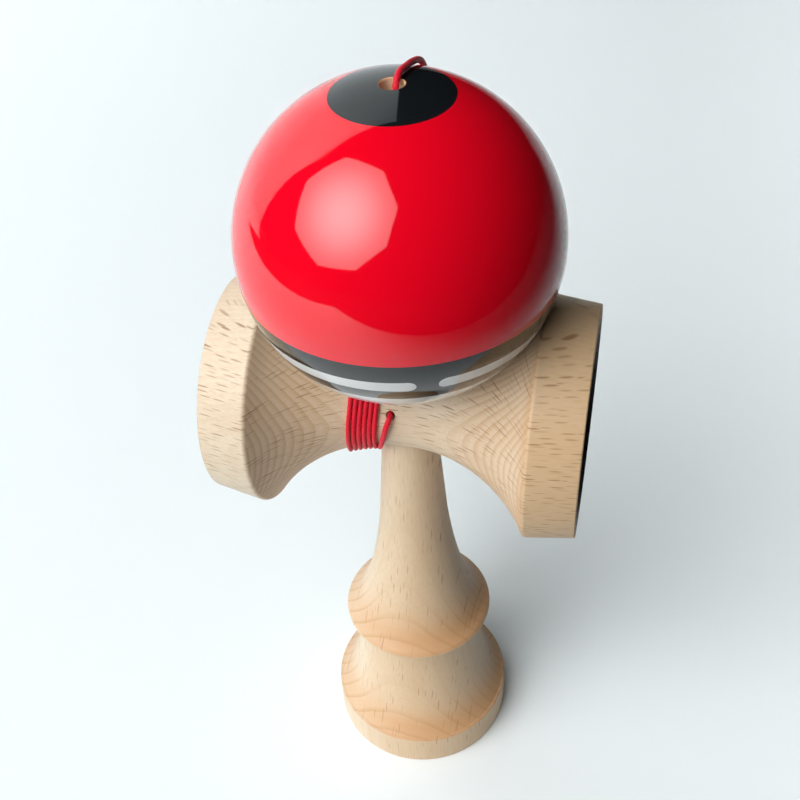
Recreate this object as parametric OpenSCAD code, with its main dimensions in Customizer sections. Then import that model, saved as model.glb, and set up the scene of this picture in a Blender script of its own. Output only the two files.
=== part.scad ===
// Kendama standing on its base cup: the ball sits on the spike, cradled by the cross-piece,
// and the string is wound round the neck of the cross-piece.
// The origin is the middle of the base on the table, Z runs up the handle, and X runs along
// the cross-piece towards its big cup. All sizes are in millimetres.

/* [Ball] */
// Diameter of the ball
ball_d = 60; // [56:0.5:66]
// Diameter of the spike hole
spike_hole_d = 22; // [20:0.5:24]
// Width of the bevel round the mouth of the spike hole
mouth_bevel = 1.5; // [0.5:0.1:2.5]
// Full angle of the drill point at the end of the spike hole
drill_angle = 118; // [90:1:140]
// Thickness of the wood between the spike hole and the top of the ball
crown_wall = 9.4; // [7:0.1:12]
// Diameter of the string hole in the top of the ball
string_hole_d = 4.2; // [3.6:0.1:6]
// Width of the bevel round the top of the string hole
string_hole_bevel = 0.3; // [0.2:0.1:0.8]
// Gap between the resting ball and the cross-piece
rest_gap = 0.3; // [0.2:0.05:0.6]

/* [Cross-piece] */
// Length of the cross-piece from rim to rim
sarado_length = 73.4; // [70:0.2:80]
// Height of its axis above the table
sarado_height = 106; // [98:0.5:114]
// Diameter of its neck
neck_d = 19.2; // [18:0.1:21]
// Length of the straight middle of the neck
neck_length = 2.6; // [1:0.1:5]
// Radius of the flare from the neck to the cups
flare_radius = 29; // [27:0.5:33]
// Diameter at the edge between the flare and the cups
edge_d = 49; // [46:0.2:52]
// Rounding of that edge
edge_round = 1; // [0.4:0.1:1.6]
// Outer diameter of the big cup at its rim
big_cup_d = 46.6; // [44:0.2:50]
// Outer diameter of the small cup at its rim
small_cup_d = 45.2; // [42:0.2:49]
// Width of the flat rim round each cup
cup_lip = 1.4; // [0.8:0.1:2.5]
// Radius of the hollow of each cup
cup_radius = 31; // [28:0.5:40]
// Height of the string hole above the axis of the cross-piece
string_exit_rise = 3.5; // [2.5:0.1:4.5]
// Distance of the string hole from the middle of the neck, towards the small cup
string_exit_side = 1.5; // [0:0.1:2]

/* [Handle] */
// Diameter of the base
base_d = 43.2; // [40:0.2:48]
// Height of the upright wall of the base
base_wall = 9.6; // [8.5:0.1:12]
// Rounding of the base's upper and lower edges
base_round = 0.6; // [0.3:0.1:1.2]
// Width of the flat ring that the base stands on
base_lip = 1.6; // [1:0.1:3]
// Radius of the hollow of the base cup
base_cup_radius = 30; // [27:0.5:40]
// Diameter of the waist under the belt ring
waist_d = 28.4; // [26:0.2:31]
// Diameter of the belt ring
ring_d = 34.8; // [33:0.2:38]
// Height of the belt ring's upper edge above the table
ring_height = 40.2; // [38:0.2:44]
// Thickness of the belt ring's rounded edge
ring_edge = 1.6; // [1:0.1:2.4]
// Height of the undercut below the belt ring
ring_undercut = 2; // [1:0.1:3]
// Diameter of the grip where the bell above the belt ring ends
grip_d = 15.2; // [14:0.1:17]
// Height of the bell above the belt ring
bell_height = 32.4; // [28:0.2:38]
// Diameter of the handle on the axis of the cross-piece
seat_d = 11.2; // [10.4:0.1:12]
// Taper of the seat, in degrees a side
seat_taper = 2; // [1:0.1:3]
// Gap a side between the handle and the bore of the cross-piece
seat_clearance = 0.05; // [0.02:0.01:0.1]
// Diameter of the rounded tip of the spike
tip_d = 4.6; // [3.6:0.1:6]
// Gap between the spike and the knot under the bead
tip_clearance = 1.5; // [0.8:0.1:3]

/* [String and bead] */
// Diameter of the string
string_d = 1.2; // [1:0.1:1.4]
// Room round the string in the holes that it passes through
string_clearance = 0.35; // [0.2:0.05:0.5]
// Diameter of the bead
bead_d = 8; // [7:0.1:10]
// Gap between the bead and its seat in the ball
bead_gap = 0.3; // [0.2:0.05:0.5]
// Diameter of the knots at the two ends of the string
knot_d = 3.2; // [2.8:0.1:3.6]
// Turns of the string round the neck
winding_turns = 6; // [2:1:6]
// Distance from turn to turn
winding_pitch = 1.02; // [1:0.01:1.1]
// Thickness of the wound string, which the pull draws thinner
wound_d = 0.54; // [0.5:0.01:0.56]
// Gap between the winding and the neck
winding_gap = 0.25; // [0.2:0.05:0.4]
// Gap between the first turn and the handle, under the neck
winding_side_gap = 0.5; // [0.4:0.05:0.8]
// How far each turn leans towards the spike above the neck, and away from the handle under it
winding_lean = 0.7; // [0.4:0.1:0.8]
// How far each turn slips to the slim middle of the neck at its front and back
winding_slip = 2.1; // [1:0.1:2.4]

/* [Hidden] */
$fn = 96;

beech = "#E0C095";
lacquer_red = "#D50A20";
string_red = "#C8102A";
bead_black = "#202226";

// Points along a curve or an arc of an outline
curve_points = 24;
round_points = 8;
// Sides of the tubes that stand for the wound and the free string
wound_sides = 6;
string_sides = 8;
// How far cuts run past the faces that they open
cut_over = 1;

ball_r = ball_d / 2;
neck_r = neck_d / 2;
edge_r = edge_d / 2;
rim_x = sarado_length / 2;

// The flare is an arc that starts where the straight neck ends
flare_start = neck_length / 2;
flare_centre_r = neck_r + flare_radius;
edge_x = flare_start + sqrt(pow(flare_radius, 2) - pow(flare_centre_r - edge_r, 2));
function flare_r(x) = abs(x) < flare_start ? neck_r
    : flare_centre_r - sqrt(pow(flare_radius, 2) - pow(abs(x) - flare_start, 2));

// The ball comes down until its underside is one rest gap from the flare
mouth_r = spike_hole_d / 2 + mouth_bevel;
function ball_rise_over(x) = flare_r(x) + sqrt(max(0, pow(ball_r + rest_gap, 2) - x * x));
ball_rise = max([for (i = [0 : curve_points])
    ball_rise_over(mouth_r + (edge_x - mouth_r) * i / curve_points)]);
ball_z = sarado_height + ball_rise;
ball_top = ball_z + ball_r;
mouth_z = ball_z - sqrt(pow(ball_r, 2) - pow(mouth_r, 2));

// The spike hole ends in a drill point, under the wall that the string passes through
spike_hole_r = spike_hole_d / 2;
string_hole_r = string_hole_d / 2;
point_z = ball_top - crown_wall;
drill_depth = (spike_hole_r - string_hole_r) / tan(drill_angle / 2);

// The bead hangs under the string hole, the knot under the bead, and the spike ends below both
bead_r = bead_d / 2;
bead_z = point_z - sqrt(pow(bead_r, 2) - pow(string_hole_r, 2)) - bead_gap;
knot_r = knot_d / 2;
string_bore_d = string_d + 2 * string_clearance;
knot_seat = sqrt(pow(knot_r, 2) - pow(string_bore_d / 2, 2));
bead_knot_top = bead_z - bead_r - string_clearance;
bead_knot_z = bead_knot_top - knot_seat;
tip_z = bead_knot_z - knot_r - tip_clearance;

// The handle tapers through the cross-piece and on into the spike
function seat_r(z) = seat_d / 2 - (z - sarado_height) * tan(seat_taper);
seat_low = sarado_height - neck_r - cut_over;
seat_high = sarado_height + neck_r + cut_over;
string_exit_z = sarado_height + string_exit_rise;

// The knot in the handle sits in a pocket at the far end of the string hole
pocket_d = knot_d + 2 * string_clearance;
ken_knot_y = sqrt(pow(seat_r(string_exit_z), 2) - pow(string_exit_side, 2)) - knot_r - string_clearance;
ken_knot_face = ken_knot_y - knot_seat;

function arc(centre, r, from, to) = [for (i = [0 : round_points])
    let (a = from + (to - from) * i / round_points) centre + r * [cos(a), sin(a)]];
function bezier(a, b, c, d) = [for (i = [0 : curve_points])
    let (t = i / curve_points, s = 1 - t)
    s * s * s * a + 3 * s * s * t * b + 3 * s * t * t * c + t * t * t * d];
// A bell from a wide low point to a slim high point: hip and throat say how full it is
function bell(low, high, hip, throat) = let (wide = low[0] - high[0], tall = high[1] - low[1])
    bezier(low, [high[0] + hip[0] * wide, low[1] + hip[1] * tall],
           [high[0] + throat[0] * wide, low[1] + throat[1] * tall], high);

// Fullness of the two bells of the handle
upper_hip = [0.5, 0.1];
upper_throat = [0.2, 0.46];
lower_hip = [0.39, 0.145];
lower_throat = [0.055, 0.48];
// Where the arcs of the belt ring's edge, the base's upper edge and the tip of the spike run to
ring_edge_from = -70;
ring_edge_to = 55;
base_edge_to = 80;
tip_from = 20;

// The string's centre line round the neck, by its angle below the front
exit_r = flare_r(string_exit_side);
exit_angle = asin(string_exit_rise / exit_r);
exit_y = sqrt(pow(exit_r, 2) - pow(string_exit_rise, 2));
rings_per_turn = 24;
lead_angle = exit_angle + 90;
leave_angle = 60;
lead_lift = 0.9;
lead_steps = 9;
turn_steps = winding_turns * rings_per_turn;
leave_steps = rings_per_turn * leave_angle / 360;
winding_start = seat_r(sarado_height - neck_r) + winding_side_gap + wound_d / 2;
function wound_point(x, angle, lift) = let (r = flare_r(x) + winding_gap + wound_d / 2 + lift)
    [-x, -r * cos(angle), sarado_height - r * sin(angle)];
// A turn stands clear of the handle right over and under the neck, and soon slips back from there
slip_power = 6;
function turn_x(t, angle) = winding_start + winding_pitch * t
    - winding_lean * (1 - sin(angle)) - winding_slip * (1 - pow(sin(angle), slip_power));
// The first strand slants from the hole in the neck to the side of the handle
lead_in = [for (i = [1 : lead_steps - 1])
    let (t = i / lead_steps, x = string_exit_side + (winding_start - string_exit_side) * t)
    wound_point(x, lead_angle * t - exit_angle, lead_lift * pow(1 - t, 3))];
turns = [for (i = [0 : turn_steps + leave_steps])
    let (t = i / rings_per_turn, angle = 90 + 360 * t)
    wound_point(turn_x(t, angle), angle, 0)];

// The route from the back of the neck, up behind the ball, over its top and down to the bead
run_route = [[-10.1, 12, 103.2], [-9.6, 13.5, 105.8], [-9.1, 15, 108.4], [-8.2, 18.2, 113.4],
             [-7.2, 21.5, 118.5], [-6.4, 23.5, 122.5], [-5.6, 25.5, 126.5]];
top_route = [[-5.6, 25.5, 126.5], [-5.2, 26.5, 128.5], [-4.8, 27.5, 130.5], [-4, 29.2, 135],
             [-3.2, 30.4, 140], [-2.4, 30.9, 145], [-1.6, 30.4, 151], [-0.8, 29, 156.5], [0, 26.2, 162],
             [0.7, 22.1, 167], [1.2, 17.5, 170.8], [1.5, 13, 173.4], [1.4, 8.5, 175.1], [1.1, 5, 175.9],
             [0.8, 2.9, 176.2], [0.7, 1.5, 176], [0.6, 0.5, 175.2], [0.6, 0, 173.9], [0.5, 0, 171],
             [0.2, 0, 167], [0, 0, 165]];
run_direction = (run_route[1] - run_route[0]) / norm(run_route[1] - run_route[0]);
winding_path = concat([[-string_exit_side, -exit_y - winding_gap, string_exit_z],
                       [-string_exit_side, -exit_y - winding_gap - wound_d, string_exit_z]],
                      lead_in, turns,
                      [run_route[0] - wound_d * run_direction, run_route[0]]);

// Least gap between stretches of the winding that lie at least half a turn apart
apart = rings_per_turn / 2;
path_end = len(winding_path) - 1;
winding_least_gap = min([for (i = [0 : path_end], j = [i + apart : 1 : path_end])
    norm(winding_path[i] - winding_path[j])]) - wound_d;
echo(winding_least_gap = winding_least_gap);

// A smooth curve through a route's points
spline_steps = 2;
function spline_point(p, i, t) =
    let (a = p[max(i - 1, 0)], b = p[i], c = p[i + 1], d = p[min(i + 2, len(p) - 1)])
    b + t * (c - a) / 2 + t * t * (a - 2.5 * b + 2 * c - d / 2)
    + t * t * t * (1.5 * b - a / 2 - 1.5 * c + d / 2);
function spline(p) = [for (i = [0 : len(p) - 2], k = [0 : spline_steps - 1])
    spline_point(p, i, k / spline_steps), p[len(p) - 1]];

// A round tube of triangles along a path that never runs along X
module tube(path, d, sides) {
    last = len(path) - 1;
    rings = [for (i = [0 : last])
        let (along = path[min(i + 1, last)] - path[max(i - 1, 0)],
             t = along / norm(along),
             across = [1, 0, 0] - t[0] * t,
             n = across / norm(across),
             b = cross(t, n))
        for (k = [0 : sides - 1]) let (a = 360 * k / sides) path[i] + d / 2 * (cos(a) * n + sin(a) * b)];
    walls = [for (i = [0 : last - 1], k = [0 : sides - 1])
        let (a = i * sides + k, b = i * sides + (k + 1) % sides)
        each [[a, a + sides, b], [b, a + sides, b + sides]]];
    start_cap = [for (k = [1 : sides - 2]) [0, k, k + 1]];
    end_cap = [for (k = [1 : sides - 2]) [last * sides, last * sides + k + 1, last * sides + k]];
    polyhedron(rings, concat(walls, start_cap, end_cap));
}

// A ball of knotted string, cut flat where the string runs into it along Z
module knot() {
    intersection() {
        sphere(d = knot_d);
        translate([0, 0, knot_seat - knot_d / 2]) cube(knot_d, center = true);
    }
}

module ken_outline() {
    base_r = base_d / 2;
    ring_r = ring_d / 2;
    edge = ring_edge / 2;
    tip_r = tip_d / 2;
    lower_start = [base_r - base_round, base_wall];
    waist = [waist_d / 2, ring_height - ring_edge - ring_undercut];
    upper_start = [ring_r - edge / 2, ring_height];
    grip = [grip_d / 2, ring_height + bell_height];
    polygon(concat(
        [[0, 0]],
        arc([base_r - base_round, base_round], base_round, -90, 0),
        arc([base_r - base_round, base_wall - base_round], base_round, 0, base_edge_to),
        bell(lower_start, waist, lower_hip, lower_throat),
        arc([ring_r - edge, ring_height - edge], edge, ring_edge_from, ring_edge_to),
        bell(upper_start, grip, upper_hip, upper_throat),
        [[seat_r(seat_low), seat_low], [seat_r(seat_high), seat_high]],
        arc([0, tip_z - tip_r], tip_r, tip_from, 90)
    ));
}

module string_bore(from, to, d) {
    translate([-string_exit_side, from, string_exit_z]) rotate([-90, 0, 0]) cylinder(d = d, h = to - from);
}

module ken() {
    lip_r = base_d / 2 - base_lip;
    color(beech) difference() {
        rotate_extrude() ken_outline();
        translate([0, 0, -sqrt(pow(base_cup_radius, 2) - pow(lip_r, 2))]) sphere(r = base_cup_radius);
        string_bore(-seat_d, ken_knot_y, string_bore_d);
        string_bore(ken_knot_face, seat_d, pocket_d);
    }
}

// Half of the cross-piece's outline, with its edge rounded where the flare meets the cup's band
module cup_half(rim_r) {
    corner = [edge_r, edge_x];
    band = [rim_r, rim_x] - corner;
    along = band / norm(band);
    inward = [-along[1], along[0]];
    flare_centre = [flare_centre_r, flare_start];
    from = corner + edge_round * inward - flare_centre;
    half = from * along;
    slide = -half + sqrt(half * half - from * from + pow(flare_radius + edge_round, 2));
    round_centre = flare_centre + from + slide * along;
    on_band = round_centre - edge_round * inward;
    to_flare = flare_radius / (flare_radius + edge_round);
    on_flare = flare_centre + to_flare * (round_centre - flare_centre);
    difference() {
        polygon([[0, 0], [edge_r, 0], corner, [rim_r, rim_x], [0, rim_x]]);
        translate(flare_centre) circle(r = flare_radius);
        translate([neck_r, -cut_over]) square([edge_r, flare_start + cut_over]);
        polygon([on_band, 2 * corner - round_centre, on_flare, round_centre]);
    }
    translate(round_centre) circle(r = edge_round);
}

module cup_hollow(rim_r, side) {
    lip_r = rim_r - cup_lip;
    centre_x = rim_x + sqrt(pow(cup_radius, 2) - pow(lip_r, 2));
    translate([side * centre_x, 0, 0]) sphere(r = cup_radius);
}

module sarado() {
    bore_top = seat_high - sarado_height;
    bore_low_r = seat_r(seat_low) + seat_clearance;
    bore_high_r = seat_r(seat_high) + seat_clearance;
    color(beech) translate([0, 0, sarado_height]) difference() {
        rotate([0, 90, 0]) rotate_extrude() {
            cup_half(big_cup_d / 2);
            mirror([0, 1]) cup_half(small_cup_d / 2);
        }
        cup_hollow(big_cup_d / 2, 1);
        cup_hollow(small_cup_d / 2, -1);
        translate([0, 0, -bore_top]) cylinder(r1 = bore_low_r, r2 = bore_high_r, h = 2 * bore_top);
        translate([0, 0, -sarado_height]) string_bore(-neck_d, 0, string_bore_d);
    }
}

module tama() {
    bevel_low = ball_z - ball_r - cut_over;
    bevel_top = ball_top - string_hole_bevel;
    color(lacquer_red) difference() {
        translate([0, 0, ball_z]) sphere(r = ball_r);
        rotate_extrude() polygon([
            [0, bevel_low],
            [mouth_r + mouth_z - bevel_low, bevel_low],
            [spike_hole_r, mouth_z + mouth_bevel],
            [spike_hole_r, point_z - drill_depth],
            [string_hole_r, point_z],
            [string_hole_r, bevel_top],
            [string_hole_r + string_hole_bevel + cut_over, ball_top + cut_over],
            [0, ball_top + cut_over]
        ]);
    }
}

module bead() {
    color(bead_black) translate([0, 0, bead_z]) difference() {
        sphere(d = bead_d);
        cylinder(d = string_bore_d, h = 2 * bead_d, center = true);
    }
}

// The string from the mouth of its hole to the knot in the handle
module string_anchor() {
    color(string_red) string_bore(-exit_y - winding_gap, ken_knot_face, string_d);
}

module ken_knot() {
    color(string_red) translate([-string_exit_side, ken_knot_y, string_exit_z]) rotate([90, 0, 0]) knot();
}

module string_winding() {
    color(string_red) tube(winding_path, wound_d, wound_sides);
}

// The string from the winding to the back of the ball
module string_run() {
    color(string_red) tube(spline(run_route), string_d, string_sides);
}

// The string from the back of the ball to the knot under the bead
module string_top() {
    color(string_red) tube(concat(spline(top_route), [[0, 0, bead_knot_top]]), string_d, string_sides);
}

module bead_knot() {
    color(string_red) translate([0, 0, bead_knot_z]) knot();
}

ken();
sarado();
tama();
bead();
string_anchor();
ken_knot();
string_winding();
string_run();
string_top();
bead_knot();
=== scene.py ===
import math

import bpy
import numpy as np
from mathutils import Matrix, Quaternion, Vector


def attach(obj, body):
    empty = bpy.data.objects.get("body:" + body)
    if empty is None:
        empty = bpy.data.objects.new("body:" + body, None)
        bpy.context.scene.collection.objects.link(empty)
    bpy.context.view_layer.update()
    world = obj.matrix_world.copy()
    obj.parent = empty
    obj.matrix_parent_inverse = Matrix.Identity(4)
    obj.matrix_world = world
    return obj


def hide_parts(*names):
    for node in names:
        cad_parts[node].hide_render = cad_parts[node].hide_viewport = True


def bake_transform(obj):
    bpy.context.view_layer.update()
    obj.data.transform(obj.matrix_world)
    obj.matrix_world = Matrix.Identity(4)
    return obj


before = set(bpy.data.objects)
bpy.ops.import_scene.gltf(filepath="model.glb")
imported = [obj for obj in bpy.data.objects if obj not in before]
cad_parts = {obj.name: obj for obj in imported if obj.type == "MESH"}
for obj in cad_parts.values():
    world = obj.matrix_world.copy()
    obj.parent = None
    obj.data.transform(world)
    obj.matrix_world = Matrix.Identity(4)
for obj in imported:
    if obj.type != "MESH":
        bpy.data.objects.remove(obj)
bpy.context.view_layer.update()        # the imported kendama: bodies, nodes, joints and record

MM = 0.001

# Sizes of the ball, in millimetres as all sizes below
BALL_R = 30
SPIKE_HOLE_R = 11
MOUTH_BEVEL = 1.5
DRILL_ANGLE = math.radians(118)
CROWN_WALL = 9.4
STRING_HOLE_R = 2.1
STRING_HOLE_BEVEL = 0.3
REST_GAP = 0.3

# Sizes of the cross-piece
SARADO_HEIGHT = 106
RIM_X = 36.7
NECK_R = 9.6
FLARE_START = 1.3
FLARE_RADIUS = 29
EDGE_R = 24.5
EDGE_ROUND = 1
BIG_CUP_R = 23.3
SMALL_CUP_R = 22.6
CUP_LIP = 1.4
CUP_RADIUS = 31
STRING_EXIT_RISE = 3.5
STRING_EXIT_SIDE = 1.5
FLARE_CENTRE_R = NECK_R + FLARE_RADIUS
EDGE_X = FLARE_START + math.sqrt(FLARE_RADIUS ** 2 - (FLARE_CENTRE_R - EDGE_R) ** 2)

# Sizes of the handle
BASE_R = 21.6
BASE_WALL = 9.6
BASE_ROUND = 0.6
BASE_LIP = 1.6
BASE_CUP_RADIUS = 30
WAIST_R = 14.2
RING_R = 17.4
RING_HEIGHT = 40.2
RING_EDGE = 1.6
RING_UNDERCUT = 2
GRIP_R = 7.6
BELL_HEIGHT = 32.4
SEAT_R = 5.6
SEAT_TAPER = math.radians(2)
SEAT_CLEARANCE = 0.05
SEAT_OVER = 1
TIP_R = 2.3
TIP_CLEARANCE = 1.5

# Sizes of the string, the bead and the knots
STRING_R = 0.6
STRING_CLEARANCE = 0.35
STRING_BORE_R = STRING_R + STRING_CLEARANCE
BEAD_R = 4
BEAD_GAP = 0.3
KNOT_R = 1.6


def flare_r(x):
    """Radius of the cross-piece at a distance from its middle, out to the edge of a cup."""
    along = max(0, abs(x) - FLARE_START)
    return FLARE_CENTRE_R - math.sqrt(FLARE_RADIUS ** 2 - along ** 2)


def seat_r(z):
    """Radius of the tapered seat and spike of the handle."""
    return SEAT_R - (z - SARADO_HEIGHT) * math.tan(SEAT_TAPER)


# Heights that follow from the ball coming down onto the flare
MOUTH_R = SPIKE_HOLE_R + MOUTH_BEVEL
REST_STEPS = 24
BALL_Z = SARADO_HEIGHT + max(
    flare_r(x) + math.sqrt(max(0, (BALL_R + REST_GAP) ** 2 - x * x))
    for x in np.linspace(MOUTH_R, EDGE_X, REST_STEPS + 1))
BALL_TOP = BALL_Z + BALL_R
MOUTH_Z = BALL_Z - math.sqrt(BALL_R ** 2 - MOUTH_R ** 2)
POINT_Z = BALL_TOP - CROWN_WALL
DRILL_DEPTH = (SPIKE_HOLE_R - STRING_HOLE_R) / math.tan(DRILL_ANGLE / 2)
BEAD_Z = POINT_Z - math.sqrt(BEAD_R ** 2 - STRING_HOLE_R ** 2) - BEAD_GAP
KNOT_SEAT = math.sqrt(KNOT_R ** 2 - STRING_BORE_R ** 2)
BEAD_KNOT_TOP = BEAD_Z - BEAD_R - STRING_CLEARANCE
BEAD_KNOT_Z = BEAD_KNOT_TOP - KNOT_SEAT
TIP_Z = BEAD_KNOT_Z - KNOT_R - TIP_CLEARANCE
STRING_EXIT_Z = SARADO_HEIGHT + STRING_EXIT_RISE
EXIT_R = flare_r(STRING_EXIT_SIDE)
EXIT_ANGLE = math.asin(STRING_EXIT_RISE / EXIT_R)
EXIT_Y = math.sqrt(EXIT_R ** 2 - STRING_EXIT_RISE ** 2)
KNOT_ROOM = KNOT_R + STRING_CLEARANCE
KEN_KNOT_Y = math.sqrt(seat_r(STRING_EXIT_Z) ** 2 - STRING_EXIT_SIDE ** 2) - KNOT_ROOM

# The camera, fitted to the outlines of the photograph
CAMERA_PLACE = Vector((40.65, -158.31, 256.87)) * MM
CAMERA_YAW = math.radians(14.99)
CAMERA_TILT = math.radians(90 - 42.726)
CAMERA_ROLL = math.radians(-3.395)
CAMERA_LENS = 48.95
CAMERA_SENSOR = 36
CAMERA_NEAR = 0.01

scene = bpy.context.scene
scene.view_settings.view_transform = "Standard"
camera_data = bpy.data.cameras.new("camera")
camera_data.lens = CAMERA_LENS
camera_data.sensor_width = CAMERA_SENSOR
camera_data.clip_start = CAMERA_NEAR
camera = bpy.data.objects.new("camera", camera_data)
scene.collection.objects.link(camera)
camera.matrix_world = (
    Matrix.Translation(CAMERA_PLACE)
    @ Matrix.Rotation(CAMERA_YAW, 4, "Z")
    @ Matrix.Rotation(CAMERA_TILT, 4, "X")
    @ Matrix.Rotation(CAMERA_ROLL, 4, "Z"))
scene.camera = camera


# Materials

def paint(code):
    """An sRGB hex colour as linear red, green, blue and alpha."""
    parts = [int(code[i:i + 2], 16) / 255 for i in (1, 3, 5)]
    return [c / 12.92 if c <= 0.04045 else ((c + 0.055) / 1.055) ** 2.4 for c in parts] + [1]


def add(tree, kind, values=None, **settings):
    """Adds a node, sets its settings, and sets or links its sockets by name or number."""
    node = tree.nodes.new("ShaderNode" + kind)
    for key, setting in settings.items():
        setattr(node, key, setting)
    for key, value in (values or {}).items():
        if isinstance(value, bpy.types.NodeSocket):
            tree.links.new(value, node.inputs[key])
        else:
            node.inputs[key].default_value = value
    return node


def new_material(name):
    """A material with only its principled shader, and that shader."""
    material = bpy.data.materials.new(name)
    material.use_nodes = True
    return material, material.node_tree, material.node_tree.nodes["Principled BSDF"]


# Sizes of the figure of beech, in millimetres: across the rays, along them and along the grain
RAY_SPACING = (0.8, 12, 4.2)
RAY_SLIMNESS = (2.2, 0.5, 1)
RING_WAVE_SIZE = (14, 14, 90)
PITH_DISTANCE = 80
FIBRE_SIZE = (0.22, 0.22, 9)
TONE_SIZE = (16, 16, 60)
BEECH_BUMP = 0.02
BEECH_BUMP_STRENGTH = 0.6
# Where a ray's mark fades out and is full, in cells, and where the dark line of a ring ends
RAY_EDGE = 0.42
RAY_CORE = 0.22
LATE_WOOD_END = 0.95
# How squarely the fibres are cut where end grain starts and is full
END_GRAIN_START = 0.2
END_GRAIN_FULL = 0.58
RINGS_ON_SIDE = 0.1
RINGS_ON_END = 0.5
# The share of end grain's colour that is left outside the painted shade, where the wood isn't painted tan
END_OUTSIDE_SHADE = 0.5
FIBRE_SHARE = 0.25
BEECH_SMOOTH = 0.44
BEECH_ROUGH = 0.54
BEECH_IOR = 1.5
# The range that most of a noise texture lies in
NOISE_LOW = 0.3
NOISE_HIGH = 0.7
FIBRE_LOW = 0.35


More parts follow.
